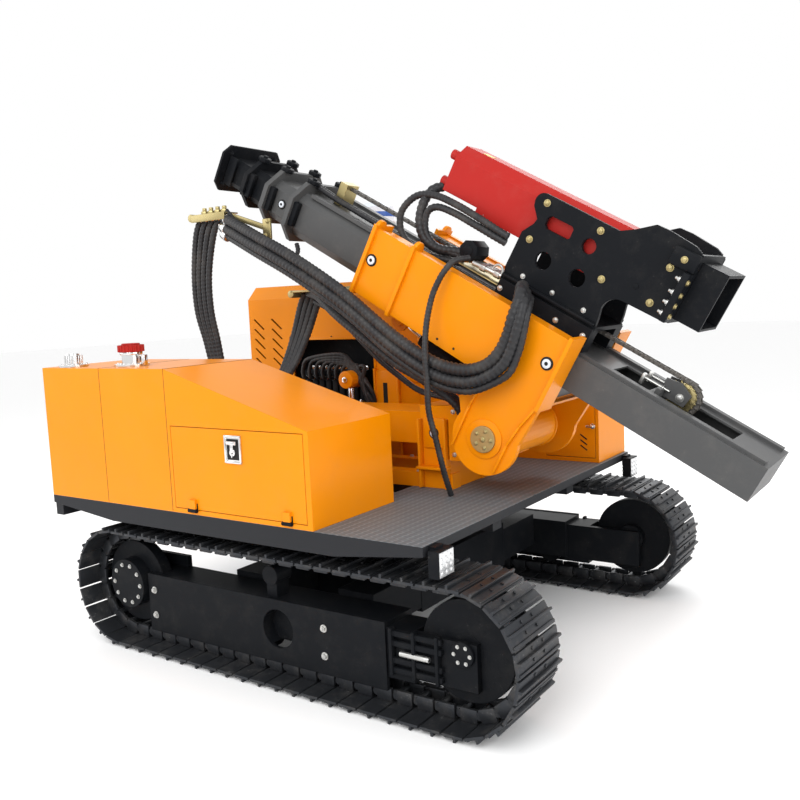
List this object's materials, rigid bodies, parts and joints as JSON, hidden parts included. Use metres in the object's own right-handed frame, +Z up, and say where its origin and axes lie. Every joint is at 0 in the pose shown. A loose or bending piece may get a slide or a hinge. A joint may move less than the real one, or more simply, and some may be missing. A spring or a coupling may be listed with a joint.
{
  "type": "crawler pile driver rig",
  "caption": "Compact crawler pile driver rig with slewing deck, leaning telescopic mast, tilt cylinder and hydraulic hammer over a driving cap.",
  "frame": {"origin": "on the ground under the middle of the whole rig's box at rest", "axes": "+X forward, towards the mast's foot and driving cap; +Y to the machine's left, the engine side; +Z up"},
  "size_m": [3.3616, 2.2376, 2.584],
  "materials": {
    "orange_paint": "satin",
    "black_paint": "satin",
    "grey_paint": "satin",
    "worn_steel": "worn",
    "red_paint": "satin",
    "yellow_zinc": "zinc plated",
    "chrome": "polished",
    "tread_plate": "worn",
    "white_plastic": "gloss"
  },
  "bodies": {
    "undercarriage": {"car_body": "black_paint", "slewing_bearing": "black_paint", "swivel": "black_paint", "track_frame_right": "black_paint", "track_frame_left": "black_paint", "track_right": "worn_steel", "track_left": "worn_steel", "idler_right": "black_paint", "idler_left": "black_paint", "drive_sprocket_right": "black_paint", "drive_sprocket_left": "black_paint"},
    "upper": {"deck": "tread_plate", "turntable": "black_paint", "mast_base": "orange_paint", "fuel_tank": "orange_paint", "oil_tank": "orange_paint", "tool_box": "orange_paint", "fuel_cap": "chrome", "breather_neck": "chrome", "breather_cap": "red_paint", "engine_hood": "orange_paint", "front_cabinet": "orange_paint", "engine_block": "black_paint", "valve_block": "black_paint", "air_precleaner": "white_plastic", "work_lamp_right": "black_paint", "work_lamp_left": "black_paint"},
    "tool_box_door": {"tool_box_door": "orange_paint", "tool_box_latch": "chrome"},
    "engine_door": {"engine_door": "orange_paint"},
    "cabinet_door": {"cabinet_door": "orange_paint"},
    "slide_beam": {"slide_beam": "orange_paint"},
    "mast_sleeve": {"mast_sleeve": "orange_paint", "mast_pivot_pin": "yellow_zinc"},
    "tilt_barrel": {"tilt_barrel": "black_paint"},
    "tilt_rod": {"tilt_rod": "chrome"},
    "mast_boom": {"mast_boom": "grey_paint", "mast_foot": "grey_paint", "chain_sprocket": "yellow_zinc", "feed_chain": "worn_steel", "chain_anchor": "yellow_zinc"},
    "mast_section_two": {"mast_section_two": "grey_paint"},
    "mast_section_three": {"mast_section_three": "black_paint"},
    "mast_section_four": {"mast_section_four": "black_paint"},
    "hammer": {"hammer_carriage": "black_paint", "hammer_plate_right": "black_paint", "hammer_plate_left": "black_paint", "breaker_body": "red_paint", "breaker_front_head": "black_paint", "hammer_front_plate": "black_paint", "drive_cap": "black_paint"}
  },
  "joints": [
    {"name": "slew_turn", "type": "hinge", "parent": "undercarriage", "child": "upper", "pos_m": [-0.25078, 0, 0.53], "axis": [0, 0, 1], "continuous": true},
    {"name": "beam_slide", "type": "slide", "parent": "upper", "child": "slide_beam", "axis": [1, 0, 0], "range_m": [0, 0.3]},
    {"name": "mast_tilt", "type": "hinge", "parent": "slide_beam", "child": "mast_sleeve", "pos_m": [0.48922, 0, 1.04], "axis": [0, 1, 0], "range_deg": [0, 65]},
    {"name": "cylinder_swing", "type": "hinge", "parent": "slide_beam", "child": "tilt_barrel", "pos_m": [0.27922, 0, 1.225], "axis": [0, 1, 0], "range_deg": [-1, 90]},
    {"name": "rod_slide", "type": "slide", "parent": "tilt_barrel", "child": "tilt_rod", "axis": [-0.7525, 0, 0.6585], "range_m": [-0.005, 0.22]},
    {"name": "mast_slide", "type": "slide", "parent": "mast_sleeve", "child": "mast_boom", "axis": [-0.8695, 0, 0.4939], "range_m": [0, 0.55]},
    {"name": "section_two_slide", "type": "slide", "parent": "mast_boom", "child": "mast_section_two", "axis": [-0.8695, 0, 0.4939], "range_m": [0, 0.9]},
    {"name": "section_three_slide", "type": "slide", "parent": "mast_section_two", "child": "mast_section_three", "axis": [-0.8695, 0, 0.4939], "range_m": [0, 0.9]},
    {"name": "section_four_slide", "type": "slide", "parent": "mast_section_three", "child": "mast_section_four", "axis": [-0.8695, 0, 0.4939], "range_m": [0, 0.9]},
    {"name": "hammer_slide", "type": "slide", "parent": "mast_boom", "child": "hammer", "axis": [0.8695, 0, -0.4939], "range_m": [-0.6, 0.45]},
    {"name": "tool_box_door_hinge", "type": "hinge", "parent": "upper", "child": "tool_box_door", "pos_m": [-0.32078, -1.1098, 0.773], "axis": [1, 0, 0], "range_deg": [0, 95]},
    {"name": "engine_door_hinge", "type": "hinge", "parent": "upper", "child": "engine_door", "pos_m": [-1.40178, 1.1098, 1.2], "axis": [0, 0, 1], "range_deg": [0, 100]},
    {"name": "cabinet_door_hinge", "type": "hinge", "parent": "upper", "child": "cabinet_door", "pos_m": [0.30322, 0.7002, 0.93], "axis": [0, 0, -1], "range_deg": [0, 90]}
  ],
  "couplings": [
    {"joint": "cylinder_swing", "follows": "mast_tilt", "ratio": 1.344},
    {"joint": "rod_slide", "follows": "mast_tilt", "m_per_rad": 0.152},
    {"joint": "section_three_slide", "follows": "section_two_slide", "ratio": 1},
    {"joint": "section_four_slide", "follows": "section_two_slide", "ratio": 1}
  ]
}
